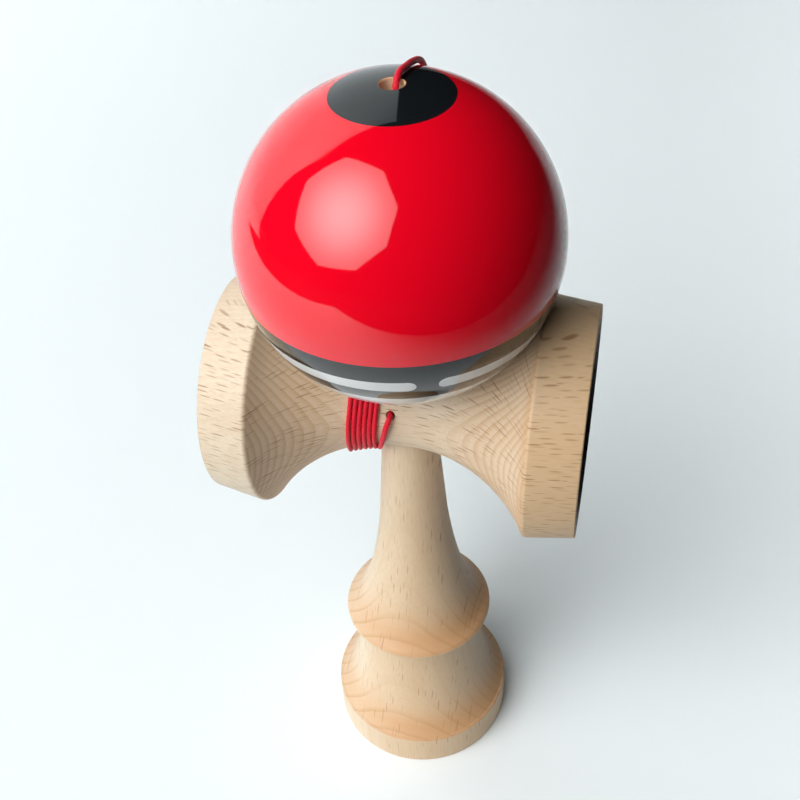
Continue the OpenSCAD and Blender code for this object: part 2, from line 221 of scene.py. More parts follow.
def turned_beech(name, turn, shift, ring_width, ring_wave, line_start, least_ray, ray_share,
                 end_share, tan):
    """Steamed beech, turned, sanded and oiled. The eye gets a warm cream ground with soft peach
    streaks, thin brown ray flecks along the grain, and more orange end grain with close growth
    rings where the turning cuts across the fibres. As painted shade, the wood is painted tanner,
    with stronger end grain, towards the side away from the light: along one axis, given in the
    grain's own directions with a start, an end and a share."""
    material, tree, surface = new_material(name)
    place = add(tree, "TexCoord").outputs["Object"]
    grain = add(tree, "Mapping", {
        "Vector": place, "Location": shift, "Rotation": turn, "Scale": (1 / MM,) * 3}).outputs[0]
    cut_across = add(tree, "Attribute", attribute_name="end_grain").outputs["Fac"]
    end_part = add(tree, "MapRange", {
        "Value": cut_across, 1: END_GRAIN_START, 2: END_GRAIN_FULL, 3: 0, 4: 1},
        interpolation_type="SMOOTHSTEP").outputs[0]

    ray_place = add(tree, "VectorMath", {0: grain, 1: RAY_SPACING}, operation="DIVIDE").outputs[0]
    rays = add(tree, "TexVoronoi", {"Vector": ray_place, "Scale": 1})
    from_ray = add(tree, "VectorMath", {
        0: ray_place, 1: rays.outputs["Position"]}, operation="SUBTRACT").outputs[0]
    slim = add(tree, "VectorMath", {0: from_ray, 1: RAY_SLIMNESS}, operation="MULTIPLY").outputs[0]
    to_ray = add(tree, "VectorMath", {0: slim}, operation="LENGTH").outputs["Value"]
    ray_shape = add(tree, "MapRange", {
        "Value": to_ray, 1: RAY_EDGE, 2: RAY_CORE, 3: 0, 4: 1}).outputs[0]
    ray_chance = add(tree, "SeparateColor", {0: rays.outputs["Color"]}).outputs[0]
    ray_depth = add(tree, "MapRange", {"Value": ray_chance, 1: least_ray, 2: 1, 3: 0, 4: 1}).outputs[0]
    fleck = add(tree, "Math", {0: ray_shape, 1: ray_depth}, operation="MULTIPLY").outputs[0]

    wave_place = add(tree, "VectorMath", {0: grain, 1: RING_WAVE_SIZE}, operation="DIVIDE").outputs[0]
    wave = add(tree, "TexNoise", {"Vector": wave_place, "Scale": 1, "Detail": 2}).outputs[0]
    from_pith = add(tree, "VectorMath", {
        0: grain, 1: (1, 1, 0), 2: (0, PITH_DISTANCE, 0)}, operation="MULTIPLY_ADD").outputs[0]
    radius = add(tree, "VectorMath", {0: from_pith}, operation="LENGTH").outputs["Value"]
    waved = add(tree, "Math", {0: wave, 1: ring_wave, 2: radius}, operation="MULTIPLY_ADD").outputs[0]
    ring_count = add(tree, "Math", {0: waved, 1: ring_width}, operation="DIVIDE").outputs[0]
    ring_part = add(tree, "Math", {0: ring_count}, operation="FRACT").outputs[0]
    late_wood = add(tree, "MapRange", {
        "Value": ring_part, 1: line_start, 2: LATE_WOOD_END, 3: 0, 4: 1}).outputs[0]
    ring_share = add(tree, "MapRange", {
        "Value": end_part, 1: 0, 2: 1, 3: RINGS_ON_SIDE, 4: RINGS_ON_END}).outputs[0]

    fibre_place = add(tree, "VectorMath", {0: grain, 1: FIBRE_SIZE}, operation="DIVIDE").outputs[0]
    fibre = add(tree, "TexNoise", {"Vector": fibre_place, "Scale": 1, "Detail": 1}).outputs[0]
    tone_place = add(tree, "VectorMath", {0: grain, 1: TONE_SIZE}, operation="DIVIDE").outputs[0]
    tone = add(tree, "TexNoise", {"Vector": tone_place, "Scale": 1, "Detail": 3}).outputs[0]
    tone_part = add(tree, "MapRange", {
        "Value": tone, 1: NOISE_LOW, 2: NOISE_HIGH, 3: 0, 4: 1}).outputs[0]
    # Painted shade: a tan that grows along one axis towards the side away from the light
    painted_shade_axis, painted_shade_start, painted_shade_end, painted_shade_share = tan
    painted_shade_place = add(tree, "VectorMath", {0: grain, 1: painted_shade_axis}, operation="DOT_PRODUCT").outputs["Value"]
    painted_shade_part = add(tree, "MapRange", {
        "Value": painted_shade_place, 1: painted_shade_start, 2: painted_shade_end, 3: 0, 4: painted_shade_share},
        interpolation_type="SMOOTHSTEP").outputs[0]

    ground = add(tree, "Mix", {
        0: tone_part, 6: paint("#E3D6BF"), 7: paint("#DAC4A7")}, data_type="RGBA").outputs[2]
    # Painted shade: the tan colour, and more orange end grain, mixed in on the side away from the light
    shade_tanned = add(tree, "Mix", {
        0: painted_shade_part, 6: ground, 7: paint("#D0AE84")}, data_type="RGBA").outputs[2]
    end_grain_and_shade_strength = add(tree, "MapRange", {
        "Value": painted_shade_part, 1: 0, 2: painted_shade_share, 3: END_OUTSIDE_SHADE * end_share, 4: end_share}).outputs[0]
    across_part = add(tree, "Math", {0: end_part, 1: end_grain_and_shade_strength}, operation="MULTIPLY").outputs[0]
    across = add(tree, "Mix", {
        0: across_part, 6: shade_tanned, 7: paint("#CFA073")}, data_type="RGBA").outputs[2]
    ringed_part = add(tree, "Math", {0: late_wood, 1: ring_share}, operation="MULTIPLY").outputs[0]
    ringed = add(tree, "Mix", {
        0: ringed_part, 6: across, 7: paint("#BE915F")}, data_type="RGBA").outputs[2]
    fibre_part = add(tree, "MapRange", {
        "Value": fibre, 1: FIBRE_LOW, 2: NOISE_HIGH, 3: 0, 4: FIBRE_SHARE}).outputs[0]
    fibred = add(tree, "Mix", {
        0: fibre_part, 6: ringed, 7: paint("#C49C72")}, data_type="RGBA").outputs[2]
    fleck_part = add(tree, "Math", {0: fleck, 1: ray_share}, operation="MULTIPLY").outputs[0]
    colour = add(tree, "Mix", {
        0: fleck_part, 6: fibred, 7: paint("#8F6238")}, data_type="RGBA").outputs[2]

    rough = add(tree, "MapRange", {
        "Value": fibre, 1: NOISE_LOW, 2: NOISE_HIGH, 3: BEECH_SMOOTH, 4: BEECH_ROUGH}).outputs[0]
    height = add(tree, "Math", {0: fibre, 1: fleck}, operation="SUBTRACT").outputs[0]
    bump = add(tree, "Bump", {
        "Height": height, "Distance": BEECH_BUMP * MM, "Strength": BEECH_BUMP_STRENGTH}).outputs[0]
    tree.links.new(colour, surface.inputs["Base Color"])
    tree.links.new(rough, surface.inputs["Roughness"])
    tree.links.new(bump, surface.inputs["Normal"])
    surface.inputs["IOR"].default_value = BEECH_IOR
    return material


# The painted zones of the ball, by their height over its middle, and the dashes in the lower band
DISC_HEIGHT = 28.05
RED_HEIGHT = -5.08
BAND_HEIGHT = -15.76
DASH_COLATITUDE = math.radians(111.5)
DASH_HALF_WIDTH = 1.57
DASH_SPAN = math.radians(90)
DASH_GAP_AZIMUTH = math.radians(-68.6)
DASH_HALF_GAP = math.radians(3.9)
PEEL_SIZE = 1.6
PEEL_BUMP = 0.004
PEEL_STRENGTH = 0.5
LACQUER_ROUGH = 0.05
LACQUER_IOR = 1.64


def gloss_lacquer():
    """Lacquer sprayed and polished over beech. The eye gets a deep even red with hard mirror-like
    reflections, a black disc and band with crisp masked edges, and white dashes in the band."""
    material, tree, surface = new_material("gloss_lacquer")
    place = add(tree, "TexCoord").outputs["Object"]
    ball = add(tree, "Mapping", {
        "Vector": place, "Location": (0, 0, -BALL_Z), "Scale": (1 / MM,) * 3}).outputs[0]
    axes = add(tree, "SeparateXYZ", {0: ball}).outputs
    over_band = add(tree, "Math", {0: axes[2], 1: BAND_HEIGHT}, operation="GREATER_THAN").outputs[0]
    over_red = add(tree, "Math", {0: axes[2], 1: RED_HEIGHT}, operation="GREATER_THAN").outputs[0]
    over_disc = add(tree, "Math", {0: axes[2], 1: DISC_HEIGHT}, operation="GREATER_THAN").outputs[0]

    dash_ring_r = BALL_R * math.sin(DASH_COLATITUDE)
    round_start = DASH_HALF_GAP + DASH_HALF_WIDTH / dash_ring_r
    azimuth = add(tree, "Math", {0: axes[1], 1: axes[0]}, operation="ARCTAN2").outputs[0]
    turned_by = add(tree, "Math", {0: azimuth, 1: DASH_GAP_AZIMUTH}, operation="SUBTRACT").outputs[0]
    from_gap = add(tree, "Math", {0: turned_by, 1: DASH_SPAN / 2}, operation="PINGPONG").outputs[0]
    short_of = add(tree, "Math", {0: round_start, 1: from_gap}, operation="SUBTRACT").outputs[0]
    past_end = add(tree, "Math", {0: short_of, 1: 0}, operation="MAXIMUM").outputs[0]
    along = add(tree, "Math", {0: past_end, 1: dash_ring_r}, operation="MULTIPLY").outputs[0]
    rise = add(tree, "Math", {0: axes[2], 1: BALL_R}, operation="DIVIDE").outputs[0]
    colatitude = add(tree, "Math", {0: rise}, operation="ARCCOSINE").outputs[0]
    off_centre = add(tree, "Math", {0: colatitude, 1: DASH_COLATITUDE}, operation="SUBTRACT").outputs[0]
    across = add(tree, "Math", {0: off_centre, 1: BALL_R}, operation="MULTIPLY").outputs[0]
    apart = add(tree, "CombineXYZ", {0: along, 1: across}).outputs[0]
    to_dash = add(tree, "VectorMath", {0: apart}, operation="LENGTH").outputs["Value"]
    on_dash = add(tree, "Math", {0: to_dash, 1: DASH_HALF_WIDTH}, operation="LESS_THAN").outputs[0]

    white = paint("#E0E2E1")
    black = paint("#14171A")
    banded = add(tree, "Mix", {0: over_band, 6: white, 7: black}, data_type="RGBA").outputs[2]
    dashed = add(tree, "Mix", {0: on_dash, 6: banded, 7: white}, data_type="RGBA").outputs[2]
    red = add(tree, "Mix", {0: over_red, 6: dashed, 7: paint("#EC0420")}, data_type="RGBA").outputs[2]
    colour = add(tree, "Mix", {0: over_disc, 6: red, 7: black}, data_type="RGBA").outputs[2]

    peel_place = add(tree, "VectorMath", {0: ball, 1: (PEEL_SIZE,) * 3}, operation="DIVIDE").outputs[0]
    peel = add(tree, "TexNoise", {"Vector": peel_place, "Scale": 1, "Detail": 1}).outputs[0]
    bump = add(tree, "Bump", {
        "Height": peel, "Distance": PEEL_BUMP * MM, "Strength": PEEL_STRENGTH}).outputs[0]
    tree.links.new(colour, surface.inputs["Base Color"])
    tree.links.new(bump, surface.inputs["Normal"])
    surface.inputs["Roughness"].default_value = LACQUER_ROUGH
    surface.inputs["IOR"].default_value = LACQUER_IOR
    return material


BRUSH_SIZE = 1.5
BRUSH_BUMP = 0.01
BRUSH_STRENGTH = 0.6
CUP_SMOOTH = 0.26
CUP_ROUGH = 0.4


def cup_paint():
    """Black paint brushed into the cups, with a low sheen and faint uneven marks."""
    material, tree, surface = new_material("black_cup_paint")
    place = add(tree, "TexCoord").outputs["Object"]
    brush = add(tree, "TexNoise", {"Vector": place, "Scale": 1 / (BRUSH_SIZE * MM), "Detail": 3}).outputs[0]
    rough = add(tree, "MapRange", {
        "Value": brush, 1: NOISE_LOW, 2: NOISE_HIGH, 3: CUP_SMOOTH, 4: CUP_ROUGH}).outputs[0]
    bump = add(tree, "Bump", {
        "Height": brush, "Distance": BRUSH_BUMP * MM, "Strength": BRUSH_STRENGTH}).outputs[0]
    tree.links.new(rough, surface.inputs["Roughness"])
    tree.links.new(bump, surface.inputs["Normal"])
    surface.inputs["Base Color"].default_value = paint("#1C1B1B")
    return material


FLOW_SIZE = 2
BEAD_SMOOTH = 0.12
BEAD_ROUGH = 0.2


def bead_plastic():
    """Black polystyrene, moulded and tumbled: a smooth gloss with faint flow marks."""
    material, tree, surface = new_material("bead_plastic")
    place = add(tree, "TexCoord").outputs["Object"]
    flow = add(tree, "TexNoise", {"Vector": place, "Scale": 1 / (FLOW_SIZE * MM), "Detail": 2}).outputs[0]
    rough = add(tree, "MapRange", {
        "Value": flow, 1: NOISE_LOW, 2: NOISE_HIGH, 3: BEAD_SMOOTH, 4: BEAD_ROUGH}).outputs[0]
    tree.links.new(rough, surface.inputs["Roughness"])
    surface.inputs["Base Color"].default_value = paint("#1A1C1F")
    return material


FILAMENT_WIDTH = 0.09
FILAMENT_LENGTH = 1.2
FILAMENT_BUMP = 0.03
FILAMENT_STRENGTH = 0.6
# Where the braid's relief turns from the painted shade of the dark lines to the raised strands, and where it
# is worn pale
RELIEF_LOW = 0.15
RELIEF_HIGH = 0.75
WORN_LOW = 0.45
WORN_HIGH = 0.8
WORN_SHARE = 0.3
BRAID_ROUGH = 0.55
BRAID_SPECULAR = 0.3
BRAID_SHEEN = 0.08
BRAID_SHEEN_ROUGH = 0.4


def nylon_braid():
    """Red nylon, braided tight from eight strands. The eye gets small raised diamonds in full red,
    painted shade in the darker lines between them, and a soft sheen along the string."""
    material, tree, surface = new_material("nylon_braid")
    relief = add(tree, "Attribute", attribute_name="relief").outputs["Fac"]
    around = add(tree, "UVMap", uv_map="along_string").outputs[0]
    filament_place = add(tree, "VectorMath", {
        0: around, 1: (FILAMENT_WIDTH, FILAMENT_LENGTH, 1)}, operation="DIVIDE").outputs[0]
    filament = add(tree, "TexNoise", {"Vector": filament_place, "Scale": 1, "Detail": 1}).outputs[0]
    # Painted shade: the braid's red is darker where its relief is low, in the lines between the strands
    out_of_crevice_shade = add(tree, "MapRange", {
        "Value": relief, 1: RELIEF_LOW, 2: RELIEF_HIGH, 3: 0, 4: 1}).outputs[0]
    crevice_shaded_red = add(tree, "Mix", {
        0: out_of_crevice_shade, 6: paint("#C00A24"), 7: paint("#E61230")}, data_type="RGBA").outputs[2]
    worn = add(tree, "MapRange", {
        "Value": filament, 1: WORN_LOW, 2: WORN_HIGH, 3: 0, 4: WORN_SHARE}).outputs[0]
    colour = add(tree, "Mix", {0: worn, 6: crevice_shaded_red, 7: paint("#EA3848")}, data_type="RGBA").outputs[2]
    bump = add(tree, "Bump", {
        "Height": filament, "Distance": FILAMENT_BUMP * MM, "Strength": FILAMENT_STRENGTH}).outputs[0]
    tree.links.new(colour, surface.inputs["Base Color"])
    tree.links.new(bump, surface.inputs["Normal"])
    surface.inputs["Roughness"].default_value = BRAID_ROUGH
    surface.inputs["Specular IOR Level"].default_value = BRAID_SPECULAR
    surface.inputs["Sheen Weight"].default_value = BRAID_SHEEN
    surface.inputs["Sheen Roughness"].default_value = BRAID_SHEEN_ROUGH
    return material


# The string: its route from the knot in the handle to the knot under the bead

RINGS_PER_TURN = 24
WINDING_TURNS = 6
WINDING_PITCH = 1.02
WOUND_GAP = 0.52
WOUND_R = 0.5
WINDING_CLEAR = 0.77
WINDING_START = seat_r(SARADO_HEIGHT - NECK_R) + WINDING_CLEAR
WINDING_LEAN = 0.7
WINDING_SLIP = 2.1
SLIP_POWER = 6
LEAD_ANGLE = EXIT_ANGLE + math.pi / 2
LEAD_LIFT = 0.9
LEAD_STEPS = 9
LEAVE_STEPS = 4
EXIT_LENGTH = 0.85

RUN_ROUTE = [(-10.1, 12, 103.2), (-9.6, 13.5, 105.8), (-9.1, 15, 108.4), (-8.2, 18.2, 113.4),
             (-7.2, 21.5, 118.5), (-6.4, 23.5, 122.5), (-5.6, 25.5, 126.5)]
TOP_ROUTE = [(-5.2, 26.5, 128.5), (-4.8, 27.5, 130.5), (-4, 29.2, 135), (-3.2, 30.4, 140),
             (-2.4, 30.9, 145), (-1.6, 30.4, 151), (-0.8, 29, 156.5), (0, 26.2, 162), (0.7, 22.1, 167),
             (1.2, 17.5, 170.8), (1.5, 13, 173.4), (1.4, 8.5, 175.1), (1.1, 5, 175.9), (0.8, 2.9, 176.2),
             (0.7, 1.5, 176), (0.6, 0.5, 175.2), (0.6, 0, 173.9), (0.5, 0, 171), (0.2, 0, 167), (0, 0, 165)]


def wound_point(x, angle, lift):
    """A point of the winding, by its place along the neck and its angle below the front."""
    r = flare_r(x) + WOUND_GAP + lift
    return (-x, -r * math.cos(angle), SARADO_HEIGHT - r * math.sin(angle))


def string_route():
    """Points along the whole string, with the radius of the string at each."""
    route = [((-STRING_EXIT_SIDE, y, STRING_EXIT_Z), STRING_R)
             for y in np.linspace(KEN_KNOT_Y, -EXIT_Y - EXIT_LENGTH, LEAD_STEPS)]
    for i in range(1, LEAD_STEPS):
        t = i / LEAD_STEPS
        x = STRING_EXIT_SIDE + (WINDING_START - STRING_EXIT_SIDE) * t
        radius = STRING_R + (WOUND_R - STRING_R) * t
        route.append((wound_point(x, LEAD_ANGLE * t - EXIT_ANGLE, LEAD_LIFT * (1 - t) ** 3), radius))
    for i in range(WINDING_TURNS * RINGS_PER_TURN + LEAVE_STEPS + 1):
        t = i / RINGS_PER_TURN
        angle = math.pi / 2 + 2 * math.pi * t
        x = (WINDING_START + WINDING_PITCH * t - WINDING_LEAN * (1 - math.sin(angle))
             - WINDING_SLIP * (1 - math.sin(angle) ** SLIP_POWER))
        route.append((wound_point(x, angle, 0), WOUND_R))
    route += [(point, STRING_R) for point in RUN_ROUTE + TOP_ROUTE]
    route.append(((0, 0, BEAD_KNOT_Z), STRING_R))
    return route


SPLINE_STEPS = 16
RING_STEP = 0.2
STRING_SIDES = 20
BRAID_STRANDS = 4
BRAID_REPEAT = 1.05
BRAID_DEPTH = 0.1
KNOT_STRAND_R = 0.5
KNOT_STEPS = 40
KNOT_FULLNESS = 1.4
# Points closer than this are one point
MERGE = 0.002


def smooth_path(points, step, closed=False):
    """Evenly spaced points along a smooth curve through the given rows of numbers."""
    rows = np.array(points, float)
    if closed:
        rows = np.vstack([rows[-1:], rows, rows[:2]])
    else:
        rows = np.vstack([rows[:1], rows, rows[-1:]])
    a, b, c, d = (rows[i:len(rows) - 3 + i, None] for i in range(4))
    t = (np.arange(SPLINE_STEPS) / SPLINE_STEPS)[None, :, None]
    curve = (b + t * (c - a) / 2 + t ** 2 * (a - 2.5 * b + 2 * c - d / 2)
             + t ** 3 * (1.5 * b - a / 2 - 1.5 * c + d / 2)).reshape(-1, rows.shape[1])
    curve = np.vstack([curve, rows[-2:-1]])
    length = np.append(0, np.cumsum(np.linalg.norm(np.diff(curve[:, :3], axis=0), axis=1)))
    even = np.linspace(0, length[-1], round(length[-1] / step) + 1)
    return np.stack([np.interp(even, length, column) for column in curve.T], 1), even


def braided_tube(name, points, radii, closed=False):
    """A tube along points, with the raised diamonds of a braid in its surface."""
    path, along = smooth_path(np.column_stack([points, radii]), RING_STEP, closed)
    centre = path[:, :3]
    run = np.gradient(centre, axis=0)
    if closed:
        run[0] = run[-1] = centre[1] - centre[-2]
    run /= np.linalg.norm(run, axis=1)[:, None]
    normal = np.zeros_like(centre)
    normal[0] = np.cross(run[0], np.roll(run[0], 1))
    for i in range(len(centre)):
        carried = normal[max(i - 1, 0)]
        flat = carried - run[i] * (carried @ run[i])
        normal[i] = flat / np.linalg.norm(flat)
    side = np.cross(run, normal)
    turn = np.arange(STRING_SIDES) / STRING_SIDES
    one_way = BRAID_STRANDS * turn[None] + along[:, None] / BRAID_REPEAT
    other_way = BRAID_STRANDS * turn[None] - along[:, None] / BRAID_REPEAT
    relief = np.sqrt(np.abs(np.sin(math.pi * one_way) * np.sin(math.pi * other_way)))
    radius = path[:, 3, None] * (1 + BRAID_DEPTH * (relief - 1))
    spoke = (normal[:, None] * np.cos(2 * math.pi * turn)[None, :, None]
             + side[:, None] * np.sin(2 * math.pi * turn)[None, :, None])
    places = (centre[:, None] + spoke * radius[:, :, None]).reshape(-1, 3) * MM
    rings = len(centre) - 1
    faces = [(i * STRING_SIDES + k, i * STRING_SIDES + (k + 1) % STRING_SIDES,
              (i + 1) * STRING_SIDES + (k + 1) % STRING_SIDES, (i + 1) * STRING_SIDES + k)
             for i in range(rings) for k in range(STRING_SIDES)]
    corners = [(u, v) for i in range(rings) for k in range(STRING_SIDES)
               for u, v in ((k, i), (k + 1, i), (k + 1, i + 1), (k, i + 1))]
    if not closed:
        faces.append(tuple(reversed(range(STRING_SIDES))))
        faces.append(tuple(range(rings * STRING_SIDES, (rings + 1) * STRING_SIDES)))
        corners += [(0, 0)] * STRING_SIDES + [(0, rings)] * STRING_SIDES
    mesh = bpy.data.meshes.new(name)
    mesh.from_pydata(places.tolist(), [], faces)
    mesh.attributes.new("relief", "FLOAT", "POINT").data.foreach_set("value", relief.ravel())
    girth = 2 * math.pi * STRING_R / STRING_SIDES
    layout = np.array(corners, float) * (girth, RING_STEP)
    mesh.uv_layers.new(name="along_string").data.foreach_set("uv", layout.ravel())
    mesh.shade_smooth()
    piece = bpy.data.objects.new(name, mesh)
    scene.collection.objects.link(piece)
    return piece, centre


def tied_knot(name, middle, pull):
    """A tight overhand knot of the string, round a point, with its axis along the pull."""
    size = (KNOT_R - KNOT_STRAND_R) / 3
    turns = [2 * math.pi * i / KNOT_STEPS for i in range(KNOT_STEPS)]
    loop = [Vector((math.sin(t) + 2 * math.sin(2 * t), math.cos(t) - 2 * math.cos(2 * t),
                    -math.sin(3 * t) * KNOT_FULLNESS)) * size for t in turns]
    stand = Vector((0, 0, 1)).rotation_difference(Vector(pull))
    points = [Vector(middle) + stand @ point for point in loop]
    piece, centre = braided_tube(name, points, [KNOT_STRAND_R] * KNOT_STEPS, closed=True)
    bpy.ops.object.select_all(action="DESELECT")
    piece.select_set(True)
    bpy.context.view_layer.objects.active = piece
    bpy.ops.object.mode_set(mode="EDIT")
    bpy.ops.mesh.select_all(action="SELECT")
    bpy.ops.mesh.remove_doubles(threshold=MERGE * MM)
    bpy.ops.object.mode_set(mode="OBJECT")
    return piece


braid = nylon_braid()
route = string_route()
string, string_path = braided_tube("string", [point for point, r in route], [r for point, r in route])
ken_knot = tied_knot("ken_knot_tied", (-STRING_EXIT_SIDE, KEN_KNOT_Y, STRING_EXIT_Z), (0, -1, 0))
bead_knot = tied_knot("bead_knot_tied", (0, 0, BEAD_KNOT_Z), (0, 0, 1))
for piece in (string, ken_knot, bead_knot):
    piece.data.materials.append(braid)
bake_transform(string)
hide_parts("string_anchor", "string_winding", "string_run", "string_top")
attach(ken_knot, "ken")
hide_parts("ken_knot")
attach(bead_knot, "bead")
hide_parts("bead_knot")


# Turned pieces

SPIN_STEPS = 256
SHARP_ANGLE = math.radians(32)
ARC_POINTS = 10
CURVE_POINTS = 36
LIP_ROUND = 0.3
BALL_POINTS = 140
BIT_SIDES = 64
# How much of the string hole's bevel shows across the hole and down it
BEVEL_SHARE = 0.72


def arc(centre, radius, start, end, points=ARC_POINTS):
    """Points of an arc in an outline, with its angles in degrees."""
    return [(centre[0] + radius * math.cos(a), centre[1] + radius * math.sin(a))
            for a in np.radians(np.linspace(start, end, points))]


def bell(low, high, hip, throat):
    """Points of a bell from a wide low point to a slim high point."""
    wide = low[0] - high[0]
    tall = high[1] - low[1]
    pulls = [low, (high[0] + hip[0] * wide, low[1] + hip[1] * tall),
             (high[0] + throat[0] * wide, low[1] + throat[1] * tall), high]
    shares = [((1 - t) ** 3, 3 * (1 - t) ** 2 * t, 3 * (1 - t) * t ** 2, t ** 3)
              for t in np.linspace(0, 1, CURVE_POINTS)]
    return [tuple(sum(s * p[k] for s, p in zip(share, pulls)) for k in (0, 1)) for share in shares]


def turned(name, outline, out, along, middle=(0, 0, 0)):
    """Turns an outline of (radius, height) points round an axis, as on a lathe."""
    places = [(Vector(middle) + Vector(out) * r + Vector(along) * h) * MM for r, h in outline]
    bpy.ops.object.select_all(action="DESELECT")
    bpy.ops.mesh.primitive_plane_add(size=MM)
    piece = bpy.context.object
    piece.name = name
    piece.data.name = name
    bpy.ops.object.mode_set(mode="EDIT")
    bpy.ops.mesh.select_all(action="SELECT")
    bpy.ops.mesh.merge(type="CENTER")
    bpy.ops.transform.translate(value=places[0])
    for before, after in zip(places, places[1:]):
        bpy.ops.mesh.extrude_vertices_move(TRANSFORM_OT_translate={"value": after - before})
    bpy.ops.mesh.select_all(action="SELECT")
    bpy.ops.mesh.spin(steps=SPIN_STEPS, angle=2 * math.pi, center=Vector(middle) * MM, axis=along)
    bpy.ops.mesh.select_all(action="SELECT")
    bpy.ops.mesh.remove_doubles(threshold=MERGE * MM)
    bpy.ops.mesh.normals_make_consistent(inside=False)
    bpy.ops.object.mode_set(mode="OBJECT")
    return piece


def drill(piece, start, end, start_r, end_r):
    """Cuts a straight or tapered hole between two points."""
    a, b = Vector(start) * MM, Vector(end) * MM
    bpy.ops.object.select_all(action="DESELECT")
    bpy.ops.mesh.primitive_cone_add(
        vertices=BIT_SIDES, radius1=start_r * MM, radius2=end_r * MM, depth=(b - a).length,
        location=(a + b) / 2, rotation=(b - a).to_track_quat("Z", "Y").to_euler())
    bit = bpy.context.object
    cut = piece.modifiers.new("drill", "BOOLEAN")
    cut.operation = "DIFFERENCE"
    cut.solver = "EXACT"
    cut.object = bit
    bpy.context.view_layer.objects.active = piece
    bpy.ops.object.modifier_apply(modifier=cut.name)
    bpy.data.objects.remove(bit)


def finish_turning(piece, grain):
    """Smooths a piece between its sharp edges and notes where its faces cut across the grain."""
    bpy.ops.object.select_all(action="DESELECT")
    piece.select_set(True)
    bpy.context.view_layer.objects.active = piece
    bpy.ops.object.shade_smooth_by_angle(angle=SHARP_ANGLE)
    cut = [abs(corner.vector.dot(Vector(grain))) for corner in piece.data.corner_normals]
    piece.data.attributes.new("end_grain", "FLOAT", "CORNER").data.foreach_set("value", cut)


def put_on(piece, body, node, slot, *materials):
    """Gives a finished piece its materials, and the body and node that it stands for."""
    for material in materials:
        piece.data.materials.append(material)
    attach(piece, body)
    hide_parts(node)


# Fullness of the handle's bells, and where the arcs of its edges run to, in degrees
UPPER_HIP = (0.5, 0.1)
UPPER_THROAT = (0.2, 0.46)
LOWER_HIP = (0.39, 0.145)
LOWER_THROAT = (0.055, 0.48)
RING_EDGE_ARC = (-70, 55)
BASE_EDGE_END = 80
TIP_ARC = (20, 90)


def ken_outline():
    """The handle from the middle of its base cup, round the rim and up to the tip of the spike."""
    lip_r = BASE_R - BASE_LIP
    cup_z = -math.sqrt(BASE_CUP_RADIUS ** 2 - lip_r ** 2)
    rim = math.degrees(math.acos(lip_r / BASE_CUP_RADIUS))
    wall_r = BASE_R - BASE_ROUND
    edge = RING_EDGE / 2
    waist = (WAIST_R, RING_HEIGHT - RING_EDGE - RING_UNDERCUT)
    grip = (GRIP_R, RING_HEIGHT + BELL_HEIGHT)
    low, high = SARADO_HEIGHT - NECK_R - SEAT_OVER, SARADO_HEIGHT + NECK_R + SEAT_OVER
    outline = arc((0, cup_z), BASE_CUP_RADIUS, 90, rim, CURVE_POINTS)
    outline += arc((wall_r, BASE_ROUND), BASE_ROUND, -90, 0)
    outline += arc((wall_r, BASE_WALL - BASE_ROUND), BASE_ROUND, 0, BASE_EDGE_END)
    outline += bell((wall_r, BASE_WALL), waist, LOWER_HIP, LOWER_THROAT)
    outline += arc((RING_R - edge, RING_HEIGHT - edge), edge, *RING_EDGE_ARC)
    outline += bell((RING_R - edge / 2, RING_HEIGHT), grip, UPPER_HIP, UPPER_THROAT)
    outline += [(seat_r(low), low), (seat_r(high), high)]
    outline += arc((0, TIP_Z - TIP_R), TIP_R, *TIP_ARC)
    outline[0] = (0, outline[0][1])
    outline[-1] = (0, TIP_Z)
    return outline


def cup_end(rim_r):
    """Half of the cross-piece from the middle of a cup, over its rim and edge, to the neck."""
    lip_r = rim_r - CUP_LIP
    hollow_x = RIM_X + math.sqrt(CUP_RADIUS ** 2 - lip_r ** 2)
    rim_angle = 180 - math.degrees(math.asin(lip_r / CUP_RADIUS))
    corner = Vector((EDGE_R, EDGE_X))
    along = (Vector((rim_r, RIM_X)) - corner).normalized()
    inward = Vector((-along.y, along.x))
    flare_centre = Vector((FLARE_CENTRE_R, FLARE_START))
    from_centre = corner + EDGE_ROUND * inward - flare_centre
    half = from_centre.dot(along)
    reach = (FLARE_RADIUS + EDGE_ROUND) ** 2
    slide = -half + math.sqrt(half * half - from_centre.dot(from_centre) + reach)
    round_centre = flare_centre + from_centre + slide * along
    to_band = -inward
    to_flare = (flare_centre - round_centre).normalized()
    start = math.degrees(math.atan2(to_band.y, to_band.x))
    end = math.degrees(math.atan2(to_flare.y, to_flare.x))
    hollow = [(CUP_RADIUS * math.sin(a), hollow_x + CUP_RADIUS * math.cos(a))
              for a in np.radians(np.linspace(180, rim_angle, CURVE_POINTS))]
    outline = hollow
    outline += arc((rim_r - LIP_ROUND, RIM_X - LIP_ROUND), LIP_ROUND, 90, start)
    outline += arc(round_centre, EDGE_ROUND, start, end)
    flare_from = math.degrees(math.atan2(-to_flare.y, -to_flare.x))
    outline += arc(flare_centre, FLARE_RADIUS, flare_from, 180, CURVE_POINTS)
    outline[0] = (0, outline[0][1])
    return outline


